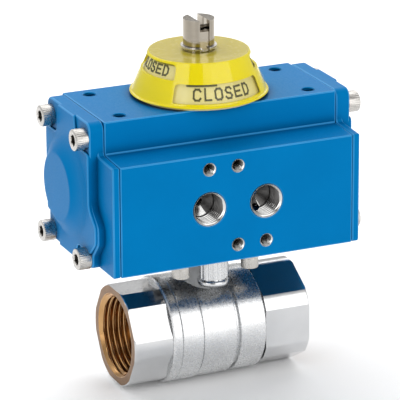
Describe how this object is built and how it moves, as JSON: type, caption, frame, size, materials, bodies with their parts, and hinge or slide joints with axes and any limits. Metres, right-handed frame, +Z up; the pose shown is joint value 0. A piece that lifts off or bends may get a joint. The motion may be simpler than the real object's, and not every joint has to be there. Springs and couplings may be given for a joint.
{
  "type": "pneumatic actuated ball valve",
  "caption": "Rack-and-pinion pneumatic actuator with a cone-shaped position indicator, turning a chrome-plated threaded ball valve a quarter turn.",
  "frame": {"origin": "centre of the inlet port's end face, on the flow axis", "axes": "+X along the flow axis from inlet to outlet, +Z up the stem axis towards the indicator, -Y towards the air ports"},
  "size_m": [0.121, 0.0641, 0.1475],
  "materials": {
    "coated_alloy": "satin blue coating",
    "chrome_plate": "chrome-plated brass",
    "stainless": "turned stainless steel",
    "nickel_steel": "nickel-plated steel",
    "brass": "machined",
    "yellow_plastic": "glossy",
    "cream_plastic": "smooth",
    "clear_plastic": "clear",
    "rubber": "matt",
    "slide_plastic": "smooth",
    "bare_alloy": "die cast"
  },
  "bodies": {
    "frame": {"actuator_body": "coated_alloy", "left_end_cap": "coated_alloy", "right_end_cap": "coated_alloy", "left_cap_screws": "stainless", "right_cap_screws": "stainless", "left_cap_seal": "rubber", "right_cap_seal": "rubber", "upper_bush": "slide_plastic", "lower_bush": "slide_plastic", "indicator_legend": "cream_plastic", "valve_body": "chrome_plate", "valve_adapter": "chrome_plate", "left_seat": "slide_plastic", "right_seat": "slide_plastic", "body_seal": "rubber", "thrust_washer": "slide_plastic", "packing_rings": "slide_plastic", "gland_nut": "brass", "mounting_screws": "stainless", "spring_washers": "stainless"},
    "rotor": {"pinion": "nickel_steel", "pinion_top_ring": "rubber", "pinion_bottom_ring": "rubber", "retaining_ring": "stainless", "indicator_mask": "yellow_plastic", "indicator_cover": "clear_plastic", "stem": "stainless", "stem_rings": "rubber", "ball": "chrome_plate"},
    "left_piston_set": {"left_piston": "bare_alloy", "left_piston_ring": "rubber", "left_guide_band": "slide_plastic", "left_rack_pad": "slide_plastic"},
    "right_piston_set": {"right_piston": "bare_alloy", "right_piston_ring": "rubber", "right_guide_band": "slide_plastic", "right_rack_pad": "slide_plastic"}
  },
  "joints": [
    {"name": "pinion_turn", "type": "hinge", "parent": "frame", "child": "rotor", "pos_m": [0.037, 0, 0.096], "axis": [0, 0, 1], "range_deg": [0, 90]},
    {"name": "right_piston_slide", "type": "slide", "parent": "frame", "child": "right_piston_set", "axis": [1, 0, 0], "range_m": [0, 0.01414]},
    {"name": "left_piston_slide", "type": "slide", "parent": "frame", "child": "left_piston_set", "axis": [-1, 0, 0], "range_m": [0, 0.01414]}
  ],
  "couplings": [
    {"joint": "right_piston_slide", "follows": "pinion_turn", "m_per_rad": 0.009},
    {"joint": "left_piston_slide", "follows": "pinion_turn", "m_per_rad": 0.009}
  ]
}
